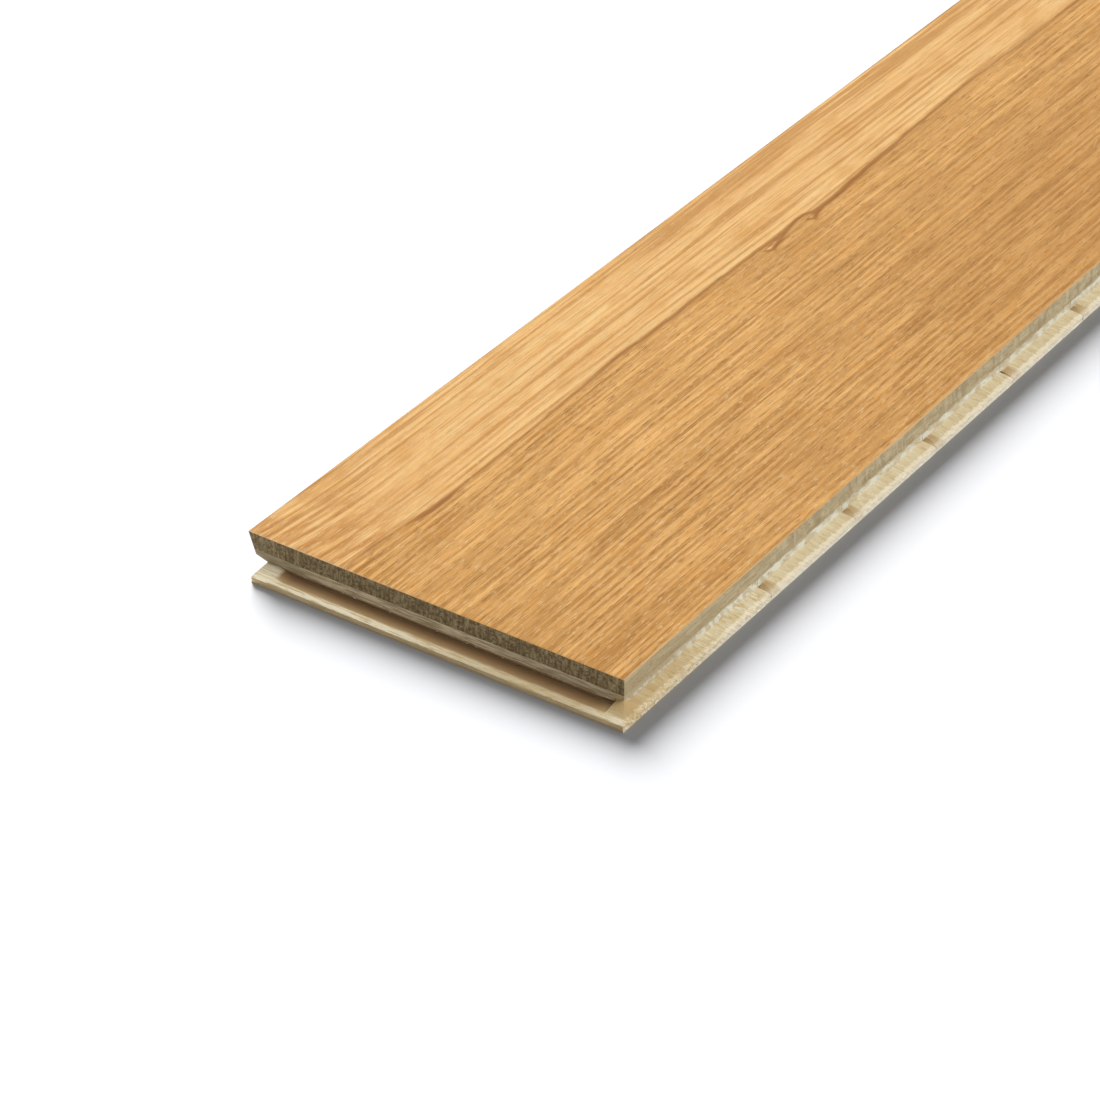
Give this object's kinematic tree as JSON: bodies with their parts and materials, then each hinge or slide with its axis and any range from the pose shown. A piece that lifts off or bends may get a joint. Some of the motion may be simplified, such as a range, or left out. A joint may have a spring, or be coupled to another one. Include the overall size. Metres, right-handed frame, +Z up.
{
  "type": "wide plank floorboard",
  "caption": "Engineered floorboard: oak top layer glued on softwood strips laid across it, with a lapped lip along one side, a grooved lip at the front end and a tongue at the back.",
  "frame": {"origin": "centre of the underside's bounding box, on the floor the board lies on", "axes": "+Y along the board from the grooved front end to the tongued back end, +X towards the side with the lip, +Z up out of the walking face"},
  "size_m": [0.1432, 1.2116, 0.012],
  "materials": {
    "oak": "oiled, lightly brushed",
    "softwood": "raw, sawn and milled"
  },
  "bodies": {
    "root": {"oak_top_layer": "oak", "head_strip_front": "softwood", "head_strip_back": "softwood", "core_strip_01": "softwood", "core_strip_02": "softwood", "core_strip_03": "softwood", "core_strip_04": "softwood", "core_strip_05": "softwood", "core_strip_06": "softwood", "core_strip_07": "softwood", "core_strip_08": "softwood", "core_strip_09": "softwood", "core_strip_10": "softwood", "core_strip_11": "softwood", "core_strip_12": "softwood", "core_strip_13": "softwood", "core_strip_14": "softwood", "core_strip_15": "softwood", "core_strip_16": "softwood", "core_strip_17": "softwood", "core_strip_18": "softwood", "core_strip_19": "softwood", "core_strip_20": "softwood", "core_strip_21": "softwood"}
  },
  "joints": []
}
